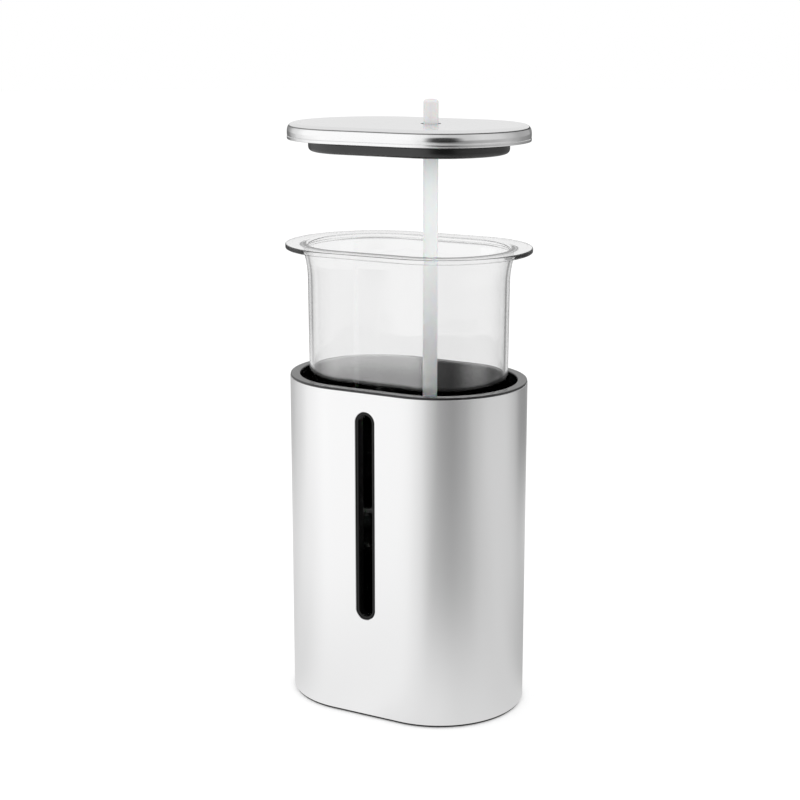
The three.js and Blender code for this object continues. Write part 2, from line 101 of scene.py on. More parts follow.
def arc(centre, radius, start, end, steps=ARC_STEPS):
    """Points of an arc in a profile, between two angles in degrees."""
    points = []
    for step in range(steps + 1):
        angle = math.radians(start + (end - start) * step / steps)
        points.append((centre[0] + radius * math.cos(angle), centre[1] + radius * math.sin(angle)))
    return points


def bend(start, control, end, steps=ARC_STEPS):
    """Points of a soft bend in a profile, without its two ends."""
    points = []
    for step in range(1, steps):
        share = step / steps
        near, middle, far = (1 - share) ** 2, 2 * share * (1 - share), share ** 2
        points.append(tuple(near * a + middle * b + far * c for a, b, c in zip(start, control, end)))
    return points


def guarded(profile, closed):
    """Adds points beside the ends of every long side, so that its shading stays true to the side itself."""
    points = []
    ends = profile[1:] + profile[:1] if closed else profile[1:]
    for start, end in zip(profile, ends):
        points.append(start)
        length = math.dist(start, end)
        if length > LONG_SIDE:
            share = GUARD / length
            points += [tuple(a + (b - a) * part for a, b in zip(start, end)) for part in (share, 1 - share)]
    return points if closed else points + profile[-1:]


def grown_ring(mesh, edges):
    """Extrudes a ring of edges. Gives the new ring's vertices and edges, still in the old ring's place."""
    made = bmesh.ops.extrude_edge_only(mesh, edges=edges)["geom"]
    verts = [part for part in made if isinstance(part, bmesh.types.BMVert)]
    new_edges = [part for part in made if isinstance(part, bmesh.types.BMEdge)]
    ends = set(verts)
    return verts, [edge for edge in new_edges if ends.issuperset(edge.verts)]


def swept(profile, closed):
    """Carries a profile round the plan: a circle stretched to the plan's two ends, which move apart by the
    length of the flat sides, and is then extruded and drawn in or out from point to point."""
    if not closed:
        ends = [(inset + GUARD, height) for inset, height in (profile[0], profile[-1])]
        profile = ends[:1] + profile + ends[1:]
    profile = guarded(profile, closed)
    mesh = bmesh.new()
    inset, height = profile[0]
    stretch = Matrix.Diagonal((END_DEPTH - inset, HALF_WIDTH - inset, 1, 1))
    turn = Matrix.Rotation(math.pi / PLAN_STEPS, 4, "Z")
    verts = bmesh.ops.create_circle(mesh, segments=PLAN_STEPS, radius=1, matrix=stretch @ turn)["verts"]
    for side in (1, -1):
        half = [vert for vert in verts if vert.co.x * side > 0]
        bmesh.ops.translate(mesh, verts=half, vec=(side * HALF_FLAT, 0, height))
    edges = mesh.edges[:]
    first = edges
    for next_inset, next_height in profile[1:] + profile[:1] * closed:
        verts, edges = grown_ring(mesh, edges)
        share = (
            (END_DEPTH - next_inset) / (END_DEPTH - inset),
            (HALF_WIDTH - next_inset) / (HALF_WIDTH - inset),
            1,
        )
        for side in (1, -1):
            half = [vert for vert in verts if vert.co.x * side > 0]
            middle = Matrix.Translation((-side * HALF_FLAT, 0, 0))
            bmesh.ops.scale(mesh, verts=half, vec=share, space=middle)
        bmesh.ops.translate(mesh, verts=verts, vec=(0, 0, next_height - height))
        inset, height = next_inset, next_height
    across = [edge for edge in mesh.edges if edge.verts[0].co.x * edge.verts[1].co.x < 0]
    return closed_up(mesh, first, edges, closed, across)


def slot_swept(profile, closed):
    """The same round the window's upright slot, with a profile of (grow, depth): how far the surface lies
    outside the slot, and how far behind the casing's front."""
    mesh = bmesh.new()
    grow, depth = profile[0]
    turn = Matrix.Rotation(math.pi / 2, 4, "X") @ Matrix.Rotation(math.pi / SLOT_STEPS, 4, "Z")
    radius = SLOT_RADIUS + grow
    verts = bmesh.ops.create_circle(mesh, segments=SLOT_STEPS, radius=radius, matrix=turn)["verts"]
    middle = (SLOT_HIGH + SLOT_LOW) / 2
    reach = (SLOT_HIGH - SLOT_LOW) / 2 - SLOT_RADIUS
    for side in (1, -1):
        half = [vert for vert in verts if vert.co.z * side > 0]
        bmesh.ops.translate(mesh, verts=half, vec=(0, depth - HALF_WIDTH, middle + side * reach))
    edges = mesh.edges[:]
    first = edges
    for next_grow, next_depth in profile[1:] + profile[:1] * closed:
        verts, edges = grown_ring(mesh, edges)
        share = (SLOT_RADIUS + next_grow) / (SLOT_RADIUS + grow)
        for side in (1, -1):
            half = [vert for vert in verts if (vert.co.z - middle) * side > 0]
            centre = Matrix.Translation((0, 0, -middle - side * reach))
            bmesh.ops.scale(mesh, verts=half, vec=(share, 1, share), space=centre)
        bmesh.ops.translate(mesh, verts=verts, vec=(0, next_depth - depth, 0))
        grow, depth = next_grow, next_depth
    return closed_up(mesh, first, edges, closed, [])


def closed_up(mesh, first, last, closed, long_edges):
    """Welds the last ring to the first, or caps both, and divides the edges along the flat sides."""
    if closed:
        bmesh.ops.remove_doubles(mesh, verts=mesh.verts, dist=WELD)
    else:
        for ring in (first, last):
            bmesh.ops.contextual_create(mesh, geom=ring)
    divided = [edge for edge in long_edges if edge.is_valid]
    bmesh.ops.subdivide_edges(mesh, edges=divided, cuts=FLAT_CUTS, use_grid_fill=True)
    bmesh.ops.recalc_face_normals(mesh, faces=mesh.faces)
    return mesh


def turned(profile, place, steps=ROUND_STEPS):
    """A body turned round an upright axis, from points of (radius, height). The first point and the last
    lie on the axis, or are the same."""
    mesh = bmesh.new()
    verts = [mesh.verts.new((radius, 0, height)) for radius, height in guarded(profile, False)]
    edges = [mesh.edges.new(pair) for pair in zip(verts, verts[1:])]
    bmesh.ops.spin(mesh, geom=verts + edges, cent=(0, 0, 0), axis=(0, 0, 1),
                   angle=math.tau, steps=steps, use_merge=True)
    bmesh.ops.remove_doubles(mesh, verts=mesh.verts, dist=WELD)
    bmesh.ops.translate(mesh, verts=mesh.verts, vec=place)
    bmesh.ops.recalc_face_normals(mesh, faces=mesh.faces)
    return mesh


def post(radius, low, high, place):
    """An upright cylinder between two heights."""
    return turned([(0, low), (radius, low), (radius, high), (0, high)], (place.x, place.y, 0))


def block(size, place, turn):
    """A box for cutting or joining, turned about its own upright axis."""
    mesh = bmesh.new()
    matrix = Matrix.Translation(place) @ Matrix.Rotation(turn, 4, "Z") @ Matrix.Diagonal((*size, 1))
    bmesh.ops.create_cube(mesh, size=1, matrix=matrix)
    return mesh


def edge_rounded(mesh, radius):
    """Rounds every edge that turns by more than the crease."""
    sharp = [edge for edge in mesh.edges if edge.is_manifold and edge.calc_face_angle(0) > CREASE]
    bmesh.ops.bevel(mesh, geom=sharp, offset=radius, offset_type="OFFSET", segments=SHORT_ARC_STEPS,
                    profile=0.5, affect="EDGES", material=-1)
    return mesh


def piece(name, mesh):
    """A finished mesh as an object at the origin, smooth but for its creases."""
    data = bpy.data.meshes.new(name)
    for face in mesh.faces:
        face.smooth = True
    mesh.to_mesh(data)
    mesh.free()
    data.set_sharp_from_angle(angle=CREASE)
    made = bpy.data.objects.new(name, data)
    bpy.context.scene.collection.objects.link(made)
    return made


def carved(body, tools, operation="DIFFERENCE"):
    """Cuts the tools out of a body, or joins them to it."""
    parts = [piece(f"{body.name}_tool", tool) for tool in tools]
    for part in parts:
        change = body.modifiers.new("carve", "BOOLEAN")
        change.operation = operation
        change.solver = "MANIFOLD"
        change.object = part
    whole = body.evaluated_get(bpy.context.evaluated_depsgraph_get())
    data = bpy.data.meshes.new_from_object(whole)
    body.modifiers.clear()
    rough = body.data
    body.data = data
    bpy.data.meshes.remove(rough)
    for part in parts:
        bpy.data.meshes.remove(part.data)
    data.set_sharp_from_angle(angle=CREASE)
    return body


# Finishes


def feed(tree, socket, value):
    """Links a source to a socket, or sets the socket's own value."""
    if isinstance(value, bpy.types.NodeSocket):
        tree.links.new(value, socket)
    else:
        socket.default_value = value


def add_node(tree, kind, **values):
    """A node with some of its inputs, each by its name with underscores for spaces."""
    node = tree.nodes.new(kind)
    for name, value in values.items():
        feed(tree, node.inputs[name.replace("_", " ")], value)
    return node


def add_group(tree, group):
    """A node that stands for a node group."""
    node = tree.nodes.new("ShaderNodeGroup")
    node.node_tree = group
    return node


def new_group(name, inputs, outputs):
    """A shader node group. Its inputs are (name, value), its outputs (name, socket type)."""
    tree = bpy.data.node_groups.new(name, "ShaderNodeTree")
    for label, value in inputs:
        socket = tree.interface.new_socket(label, in_out="INPUT", socket_type="NodeSocketFloat")
        socket.default_value = value
    for label, kind in outputs:
        tree.interface.new_socket(label, in_out="OUTPUT", socket_type=kind)
    return tree, tree.nodes.new("NodeGroupInput").outputs, tree.nodes.new("NodeGroupOutput").inputs


def wired(tree, kind, operation, *values):
    """A node that calculates with sockets and numbers."""
    node = tree.nodes.new(kind)
    node.operation = operation
    for socket, value in zip(node.inputs, values):
        feed(tree, socket, value)
    return node.outputs


def maths(tree, operation, *values):
    """A number from sockets and numbers."""
    return wired(tree, "ShaderNodeMath", operation, *values)["Value"]


def vector_maths(tree, operation, *values):
    """A vector from sockets and vectors."""
    return wired(tree, "ShaderNodeVectorMath", operation, *values)["Vector"]


def parts_of(tree, vector):
    """The x, y and z of a vector."""
    return add_node(tree, "ShaderNodeSeparateXYZ", Vector=vector).outputs


def object_place(tree):
    """Where a point of the surface lies on its object."""
    return tree.nodes.new("ShaderNodeTexCoord").outputs["Object"]


def ranged(tree, value, low, high, start=0.0, end=1.0):
    """A value that passes softly from start to end as another goes from low to high."""
    node = tree.nodes.new("ShaderNodeMapRange")
    node.interpolation_type = "SMOOTHSTEP"
    for label, number in (("From Min", low), ("From Max", high), ("To Min", start), ("To Max", end)):
        node.inputs[label].default_value = number
    tree.links.new(value, node.inputs["Value"])
    return node.outputs["Result"]


def ramped(tree, value, stops):
    """A grey level for a value from 0 to 1, which passes softly from stop to stop of (value, level)."""
    node = tree.nodes.new("ShaderNodeValToRGB")
    node.color_ramp.interpolation = "EASE"
    elements = node.color_ramp.elements
    while len(elements) < len(stops):
        elements.new(0.5)
    for element, (position, level) in zip(elements, stops):
        element.position = position
        element.color = (level, level, level, 1)
    tree.links.new(value, node.inputs[0])
    return node.outputs[0]


def blended(tree, share, near, far):
    """One tone passing into another."""
    node = tree.nodes.new("ShaderNodeMix")
    node.data_type = "RGBA"
    for label, value in (("Factor", share), ("A", near), ("B", far)):
        feed(tree, node.inputs[label], value)
    return node.outputs["Result"]


def grey(level, tint=0.0):
    """A neutral tone, or one with a little blue in it."""
    return (level, level, level + tint, 1)


GRAIN_DEPTH = 0.0002


def grain_group():
    """An uneven surface, stretched along the height: its factor, its roughness and its bump's normal."""
    tree, given, result = new_group("surface_grain", [
        ("Across", 2000.0),
        ("Upright", 2000.0),
        ("Roughness", 0.4),
        ("Roughness Spread", 0.05),
        ("Bump", 0.05),
    ], [
        ("Factor", "NodeSocketFloat"),
        ("Roughness", "NodeSocketFloat"),
        ("Normal", "NodeSocketVector"),
    ])
    across, upright, roughness, spread, strength = list(given)[:5]
    scale = add_node(tree, "ShaderNodeCombineXYZ", X=across, Y=across, Z=upright).outputs[0]
    place = vector_maths(tree, "MULTIPLY", object_place(tree), scale)
    noise = add_node(tree, "ShaderNodeTexNoise", Vector=place, Scale=1.0, Detail=4.0, Roughness=0.6)
    factor = noise.outputs[0]
    uneven = maths(tree, "MULTIPLY_ADD", maths(tree, "SUBTRACT", factor, 0.5), spread, roughness)
    bump = add_node(tree, "ShaderNodeBump", Distance=GRAIN_DEPTH, Height=factor, Strength=strength)
    tree.links.new(factor, result["Factor"])
    tree.links.new(uneven, result["Roughness"])
    tree.links.new(bump.outputs[0], result["Normal"])
    return tree


GRAIN = grain_group()


def finish(name, light, dark, grain, **constants):
    """A principled finish with a grain of two tones. Constants are set on the shader's own sockets."""
    made = bpy.data.materials.new(name)
    made.use_nodes = True
    tree = made.node_tree
    shader = tree.nodes["Principled BSDF"]
    surface = add_group(tree, GRAIN)
    for label, value in grain.items():
        surface.inputs[label].default_value = value
    tone = blended(tree, surface.outputs["Factor"], dark, light)
    tree.links.new(tone, shader.inputs["Base Color"])
    for label in ("Roughness", "Normal"):
        tree.links.new(surface.outputs[label], shader.inputs[label])
    for label, value in constants.items():
        shader.inputs[label.replace("_", " ")].default_value = value
    return made


BRUSHED_STEEL = finish("brushed_steel", grey(0.925, 0.002), grey(0.895, 0.002), {
    "Across": 2600.0, "Upright": 20.0, "Roughness": 0.21, "Roughness Spread": 0.05, "Bump": 0.008,
}, Metallic=1.0, Anisotropic=0.3)
LID_STEEL = finish("lid_steel", grey(0.925, 0.002), grey(0.895, 0.002), {
    "Across": 900.0, "Upright": 900.0, "Roughness": 0.12, "Roughness Spread": 0.03, "Bump": 0.006,
}, Metallic=1.0, Anisotropic=0.1)
BLACK_PLASTIC = finish("black_plastic", grey(0.007), grey(0.004), {
    "Across": 2400.0, "Upright": 2400.0, "Roughness": 0.22, "Roughness Spread": 0.06, "Bump": 0.01,
}, IOR=1.65)
DULL_PLASTIC = finish("dull_plastic", grey(0.005), grey(0.003), {
    "Across": 1500.0, "Upright": 1500.0, "Roughness": 0.3, "Roughness Spread": 0.05, "Bump": 0.02,
}, IOR=1.65, Specular_IOR_Level=0.2)
BLACK_SILICONE = finish("black_silicone", grey(0.014), grey(0.009), {
    "Across": 1600.0, "Upright": 1600.0, "Roughness": 0.55, "Roughness Spread": 0.12, "Bump": 0.05,
}, IOR=1.42)
# The clear plastic's coat, with its high IOR, shows only where the painted reflection's mask below lets it.
CLEAR_PLASTIC = finish("clear_plastic", grey(0.97), grey(0.956), {
    "Across": 60.0, "Upright": 24.0, "Roughness": 0.015, "Roughness Spread": 0.02, "Bump": 0.006,
}, Transmission_Weight=1.0, IOR=1.5, Coat_IOR=3.2, Coat_Roughness=0.03)
# The tube's tone is painted paler to make up for the shade of the lid and the tank. Its upper end is painted
# darker again below.
WHITE_SILICONE = finish("white_silicone", grey(0.93, 0.002), grey(0.9, 0.002), {
    "Across": 700.0, "Upright": 90.0, "Roughness": 0.36, "Roughness Spread": 0.1, "Bump": 0.02,
}, IOR=1.42, Subsurface_Weight=0.3, Subsurface_Scale=0.003)
FOOT_RUBBER = finish("foot_rubber", grey(0.034), grey(0.02), {
    "Across": 2600.0, "Upright": 2600.0, "Roughness": 0.8, "Roughness Spread": 0.15, "Bump": 0.12,
}, IOR=1.48)
SCREW_STEEL = finish("screw_steel", grey(0.56), grey(0.46), {
    "Across": 1500.0, "Upright": 1500.0, "Roughness": 0.35, "Roughness Spread": 0.15, "Bump": 0.05,
}, Metallic=1.0)


# Painted reflection on the front of the tank: a coat that mirrors the room is laid only below a line that
# rises from left to right, whose height is the first number below plus the second times x plus the third
# times x * x, and as strongly as the levels along the front say
PAINTED_REFLECTION_LINE, PAINTED_REFLECTION_RISE, PAINTED_REFLECTION_BEND = 0.1774, 0.108, -3.96
PAINTED_REFLECTION_EDGE = (-0.0008, 0.0004)
PAINTED_REFLECTION_DEPTH = (-0.012, 0.0)
PAINTED_REFLECTION_FRONT = (-0.014, -0.006)
PAINTED_REFLECTION_LENGTH = 0.12
PAINTED_REFLECTION_LEVELS = [(-0.038, 0.12), (-0.021, 1.0), (0.021, 1.0), (0.03, 0.12), (0.037, 0.12), (0.044, 0.5),
                 (0.05, 0.25)]

# Painted light on the tube: heights between which it passes from its tone raised against the lid's shade to a
# darker tone where it stands out of the lid in full light, and that darker tone
LIT_END_LOW, LIT_END_HIGH = 0.255, 0.284
LIT_END_TONE = (0.64, 0.645, 0.645, 1)


def painted_reflection_group():
    """The mask of the painted reflection: how strongly the tank's coat mirrors the room."""
    tree, _, result = new_group("painted_reflection", [], [("Weight", "NodeSocketFloat")])
    x, y, z = parts_of(tree, object_place(tree))
    rise = maths(tree, "MULTIPLY_ADD", x, PAINTED_REFLECTION_BEND, PAINTED_REFLECTION_RISE)
    over = maths(tree, "SUBTRACT", z, maths(tree, "MULTIPLY_ADD", rise, x, PAINTED_REFLECTION_LINE))
    below = ranged(tree, over, *PAINTED_REFLECTION_EDGE, 1.0, 0.0)
    front = ranged(tree, y, *PAINTED_REFLECTION_FRONT, 1.0, 0.0)
    depth = ranged(tree, over, *PAINTED_REFLECTION_DEPTH, 0.5, 1.0)
    along = maths(tree, "MULTIPLY_ADD", x, 1 / PAINTED_REFLECTION_LENGTH, 0.5)
    strength = ramped(tree, along, [(place / PAINTED_REFLECTION_LENGTH + 0.5, level) for place, level in PAINTED_REFLECTION_LEVELS])
    weight = maths(tree, "MULTIPLY", maths(tree, "MULTIPLY", below, front), depth)
    tree.links.new(maths(tree, "MULTIPLY", weight, strength), result["Weight"])
    return tree


def painted_reflection(look):
    """Links the painted reflection's mask to a finish's coat."""
    tree = look.node_tree
    weight = add_group(tree, painted_reflection_group()).outputs["Weight"]
    tree.links.new(weight, tree.nodes["Principled BSDF"].inputs["Coat Weight"])


def painted_lit_end_group():
    """How far the tube has passed into its painted darker tone for full light, at its height."""
    tree, _, result = new_group("painted_lit_end", [], [("Share", "NodeSocketFloat")])
    height = parts_of(tree, object_place(tree))["Z"]
    tree.links.new(ranged(tree, height, LIT_END_LOW, LIT_END_HIGH), result["Share"])
    return tree


def painted_lit_end(look):
    """Paints the upper end of a finish darker, for the full light out of the lid's shade."""
    tree = look.node_tree
    share = add_group(tree, painted_lit_end_group()).outputs["Share"]
    colour = tree.nodes["Principled BSDF"].inputs["Base Color"]
    tone = colour.links[0].from_socket
    tree.links.new(blended(tree, share, tone, LIT_END_TONE), colour)


def seat(made, body, slot, look, *nodes):
    """Gives a piece its finish and its body, and hides the imported nodes that it stands for."""
    made.data.materials.clear()
    made.data.materials.append(look)
    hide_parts(*nodes)
    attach(made, body)


# A painted reflection on the front of the tank.
painted_reflection(CLEAR_PLASTIC)
# The tube's upper end is painted darker where it stands in full light.
painted_lit_end(WHITE_SILICONE)


# Casing


def steel_sleeve():
    """The casing, with its slot cut by a tool whose mouth rounds the slot's edge."""
    low, high = SLEEVE_LOW.z, SLEEVE_HIGH.z
    wall = swept([(0, low), (0, high), (SLEEVE_WALL, high), (SLEEVE_WALL, low)], closed=True)
    sleeve = piece("steel_sleeve", edge_rounded(wall, SLEEVE_EDGE))
    slot = slot_swept([
        (2 * SLEEVE_EDGE, -SLEEVE_EDGE),
        (0, SLEEVE_EDGE),
        (0, INSIDE_SLEEVE),
    ], closed=False)
    return carved(sleeve, [slot])


# Places of the feet and the screws in the base, and the holes that the screws pass
FOOT_PLACES = [sum(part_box(f"base_foot_{number}"), Vector()) / 2 for number in range(1, 5)]
SCREW_PLACES = [sum(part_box(f"base_screw_{number}"), Vector()) / 2 for number in range(1, 5)]
SHANK = 0.00145
SHANK_HOLE = SHANK + FIT_GAP
SCREW_HEAD = 0.0009


def liner_ribs(liner_top):
    """Upright ribs that keep the sleeve round: five on each end, and two on each flat side."""
    root = 0.0006
    width = 0.0016
    margin = 0.009
    tongue = 0.004
    beside_window = 0.0139
    turns = map(math.radians, (-60, -30, 0, 30, 60))
    low, high = SLEEVE_LOW.z + margin, liner_top - tongue - margin
    reach = LINER_OUTER + root - INSIDE_SLEEVE
    middle = INSIDE_SLEEVE + reach / 2
    ribs = []
    places = [(HALF_FLAT + (END_DEPTH - middle) * math.cos(angle), angle) for angle in turns]
    places += [(beside_window, math.radians(side * 90)) for side in (1, -1)]
    for end in (1, -1):
        for x, angle in places:
            outward = math.atan2(END_DEPTH * math.sin(angle), end * HALF_WIDTH * math.cos(angle))
            place = (end * x, (HALF_WIDTH - middle) * math.sin(angle), (low + high) / 2)
            ribs.append(block((reach, width, high - low), place, outward))
    return ribs


def liner_shell():
    """The inner shell with its floor, ribs, screw bosses and bores, and the window cut through it."""
    low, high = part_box("inner_liner")
    fillet_middle = (LINER_INNER + LINER_FILLET, LINER_FLOOR_TOP + LINER_FILLET)
    shell = swept([
        (LINER_INNER, LINER_FLOOR_UNDER),
        (LINER_INNER, low.z),
        (LINER_OUTER, low.z),
        (LINER_OUTER, high.z),
        (LINER_INNER, high.z),
        *arc(fillet_middle, LINER_FILLET, 180, 270),
    ], closed=False)
    window = slot_swept([(0, LINER_OUTER - FIT_GAP), (0, LINER_INNER + FIT_GAP)], closed=False)
    boss_radius = 0.004
    boss_top = (LINER_FLOOR_TOP + LINER_FLOOR_UNDER) / 2
    bore_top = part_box("base_screw_1")[1].z + FIT_GAP
    bosses = [post(boss_radius, low.z, boss_top, place) for place in SCREW_PLACES]
    bores = [post(SHANK_HOLE, low.z - FIT_GAP, bore_top, place) for place in SCREW_PLACES]
    made = carved(piece("liner_shell", shell), liner_ribs(high.z) + bosses, "UNION")
    return carved(made, bores + [window])


def collar_ring():
    """The collar on the casing's upper edge, with a tongue that goes down inside the sleeve."""
    low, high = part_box("top_ring")
    setback = HALF_LENGTH - high.x
    outer_round = 0.0003
    inner_round = 0.0006
    thickness = 0.002
    under = high.z - thickness
    tongue_inside = LINER_OUTER - FIT_GAP
    ring = swept([
        (setback, SLEEVE_HIGH.z),
        *arc((setback + outer_round, high.z - outer_round), outer_round, 180, 90),
        *arc((LINER_INNER - inner_round, high.z - inner_round), inner_round, 90, 0),
        (LINER_INNER, under),
        (tongue_inside, under),
        (tongue_inside, low.z),
        (INSIDE_SLEEVE, low.z),
        (INSIDE_SLEEVE, SLEEVE_HIGH.z),
    ], closed=True)
    return piece("collar_ring", ring)


def window_bezel():
    """The frame that lines the slot, with a flange behind the sleeve."""
    inside = -FIT_GAP - FRAME_LIP
    outside = -FIT_GAP
    front = FRAME_RECESS
    back = FRAME_HIGH.y + HALF_WIDTH
    bezel = slot_swept([
        *arc((outside - FRAME_EDGE, front + FRAME_EDGE), FRAME_EDGE, 270, 360),
        (outside, INSIDE_SLEEVE),
        (FRAME_FLANGE, INSIDE_SLEEVE),
        (FRAME_FLANGE, LINER_OUTER - FIT_GAP),
        (outside, LINER_OUTER - FIT_GAP),
        (outside, back),
        (inside, back),
        *arc((inside + FRAME_EDGE, front + FRAME_EDGE), FRAME_EDGE, 180, 270),
    ], closed=True)
    return piece("window_bezel", bezel)


def floor_plate():
    """The base plate, with pockets for the feet and sinks and holes for the screws."""
    low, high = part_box("base_plate")
    setback = HALF_LENGTH - high.x
    edge = 0.0002
    plate = swept([
        *arc((setback + edge, low.z + edge), edge, 270, 180),
        (setback, SLEEVE_LOW.z),
        (INSIDE_SLEEVE, SLEEVE_LOW.z),
        (INSIDE_SLEEVE, high.z),
    ], closed=False)
    below = low.z - FIT_GAP
    foot_low, foot_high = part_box("base_foot_1")
    pocket = (foot_high.x - foot_low.x) / 2 + FIT_GAP
    head_low, head_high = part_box("base_screw_1")
    sink = (head_high.x - head_low.x) / 2 + FIT_GAP
    sink_top = head_low.z + SCREW_HEAD
    tools = [post(pocket, below, foot_high.z, place) for place in FOOT_PLACES]
    tools += [post(sink, below, sink_top, place) for place in SCREW_PLACES]
    tools += [post(SHANK_HOLE, below, high.z + FIT_GAP, place) for place in SCREW_PLACES]
    return carved(piece("floor_plate", plate), tools)


def rubber_foot(number):
    """One foot, let into the base plate."""
    low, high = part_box(f"base_foot_{number}")
    centre = (low + high) / 2
    radius = high.x - centre.x
    edge = 0.00025
    return piece(f"rubber_foot_{number}", turned([
        (0, low.z),
        *arc((radius - edge, low.z + edge), edge, 270, 360),
        (radius, high.z),
        (0, high.z),
    ], (centre.x, centre.y, 0)))


def plate_screw(number):
    """One screw, head down, with a thread of ridges and a cross recess."""
    low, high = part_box(f"base_screw_{number}")
    centre = (low + high) / 2
    radius = high.x - centre.x
    edge = 0.0002
    thread_depth = 0.0003
    core = SHANK - thread_depth
    pitch = 0.0008
    turns = 8
    seat_height = low.z + SCREW_HEAD
    tip = 0.0012
    thread = []
    for ridge in range(turns):
        height = seat_height + pitch * (ridge + 0.5)
        thread += [(core, height), (SHANK, height + pitch / 4), (core, height + pitch / 2)]
    body = piece(f"plate_screw_{number}", turned([
        (0, low.z),
        *arc((radius - edge, low.z + edge), edge, 270, 360, SHORT_ARC_STEPS),
        (radius, seat_height),
        (core, seat_height),
        *thread,
        (core, high.z - tip),
        (0, high.z),
    ], (centre.x, centre.y, 0), SCREW_STEPS))
    arm = 0.0016
    arm_width = 0.0006
    recess = 0.0006
    size = (2 * arm, arm_width, 2 * recess)
    place = (centre.x, centre.y, low.z)
    return carved(body, [block(size, place, math.radians(turn)) for turn in (0, 90)])


# Tank


def clear_tank():
    """The tank: rounded floor, thin wall, neck over a shoulder, and flange with a soft mouth."""
    low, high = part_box("milk_tank")
    overhang = HALF_LENGTH - high.x
    wall = 0.002
    floor = 0.0025
    neck = 0.0073
    neck_fillet = 0.002
    shoulder = 0.0091
    shoulder_depth = 0.017
    foot = 0.0099
    fillet = 0.008
    flange = 0.0022
    flange_round = 0.0005
    mouth_round = 0.00135
    top = high.z
    bottom = low.z
    under_flange = top - flange
    neck_low = under_flange - neck_fillet
    shoulder_height = top - shoulder_depth
    flare = (neck_low + shoulder_height) / 2
    inner_shoulder = shoulder + wall
    inside = fillet - wall
    tank = swept([
        *arc((foot + fillet, bottom + fillet), fillet, 270, 180, SOFT_ARC_STEPS),
        (shoulder, shoulder_height),
        *bend((shoulder, shoulder_height), (shoulder, flare), (neck, neck_low)),
        *arc((neck - neck_fillet, neck_low), neck_fillet, 0, 90),
        *arc((overhang + flange_round, under_flange + flange_round), flange_round, 270, 180),
        *arc((overhang + flange_round, top - flange_round), flange_round, 180, 90),
        *arc((neck + wall - mouth_round, top - mouth_round), mouth_round, 90, 0),
        *bend((neck + wall, top - mouth_round), (inner_shoulder, flare), (inner_shoulder, shoulder_height)),
        (inner_shoulder, shoulder_height),
        *arc((foot + fillet, bottom + floor + inside), inside, 180, 270, SOFT_ARC_STEPS),
    ], closed=False)
    return piece("clear_tank", tank)


# Lid

LID_LOW, LID_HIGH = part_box("lid_cap")
TUBE_LOW, TUBE_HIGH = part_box("suction_tube")
TUBE_AXIS = (TUBE_LOW + TUBE_HIGH) / 2
TUBE_RADIUS = TUBE_HIGH.x - TUBE_AXIS.x
TUBE_HOLE = 0.0048
CAP_SHEET = 0.0008
PLUG_INSET = 0.0099
PLUG_GROOVE = 0.0009


def steel_cap():
    """The cap: a brow and a bulge down its side, a hem line over its rolled rim, and the tube's hole."""
    low, high = LID_LOW.z, LID_HIGH.z
    edge_round = 0.0039
    half_sheet = CAP_SHEET / 2
    hem = 0.0013
    hem_line = 0.0005
    hem_depth = 0.00025
    shoulder = high - edge_round
    bulge = 0.0123
    bulge_drop = 0.0046
    brow = 0.00337
    brow_setback = 0.000087
    brow_end = 172
    bulge_end = 186
    cap = swept([
        *arc((brow + brow_setback, high - brow), brow, 90, brow_end, LONG_ARC_STEPS),
        *arc((bulge, high - bulge_drop), bulge, brow_end, bulge_end, SOFT_ARC_STEPS)[1:],
        (hem_depth, low + hem + hem_line / 2),
        (0, low + hem),
        *arc((half_sheet, low + half_sheet), half_sheet, 180, 360),
        *arc((edge_round, shoulder), edge_round - CAP_SHEET, 180, 90, SOFT_ARC_STEPS),
    ], closed=False)
    return carved(piece("steel_cap", cap), [post(TUBE_HOLE, low, high + FIT_GAP, TUBE_AXIS)])


def lid_plug():
    """The plug under the cap: a plate with a rib, a groove for the seal, and a boss for the bush."""
    low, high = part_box("lid_insert")
    thickness = 0.002
    plate_low = LID_LOW.z + FIT_GAP
    plate_high = plate_low + thickness
    plug_round = 0.0022
    in_groove = PLUG_INSET + PLUG_GROOVE
    groove_height = 0.0016
    groove_low = plate_low - groove_height
    inside_cap = CAP_SHEET + FIT_GAP
    rib = 0.0045
    inner = in_groove + thickness
    body = swept([
        *arc((PLUG_INSET + plug_round, low.z + plug_round), plug_round, 270, 180),
        (PLUG_INSET, groove_low),
        (in_groove, groove_low),
        (in_groove, plate_low),
        (inside_cap, plate_low),
        (inside_cap, plate_high),
        (rib, plate_high),
        (rib, high.z),
        (rib + thickness, high.z),
        (rib + thickness, plate_high),
        (inner, plate_high),
        (inner, low.z + thickness),
    ], closed=False)
    bush_low, bush_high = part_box("tube_bush")
    seat_radius = (bush_high.x - bush_low.x) / 2 + FIT_GAP
    boss_wall = 0.0016
    boss = post(seat_radius + boss_wall, low.z + thickness / 2, high.z, TUBE_AXIS)
    made = carved(piece("lid_plug", body), [boss], "UNION")
    return carved(made, [
        post(seat_radius, bush_low.z, high.z + FIT_GAP, TUBE_AXIS),
        post(TUBE_HOLE, low.z - FIT_GAP, bush_low.z + FIT_GAP, TUBE_AXIS),
    ])


def seal_ring():
    """The seal in the plug's groove, with a rounded lower edge."""
    low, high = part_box("lid_seal")
    outer = HALF_LENGTH - high.x
    inner = PLUG_INSET + PLUG_GROOVE - FIT_GAP
    lip_round = 0.0004
    return piece("seal_ring", swept([
        (inner, low.z),
        (inner, high.z),
        (outer, high.z),
        *arc((outer + lip_round, low.z + lip_round), lip_round, 180, 270),
    ], closed=True))


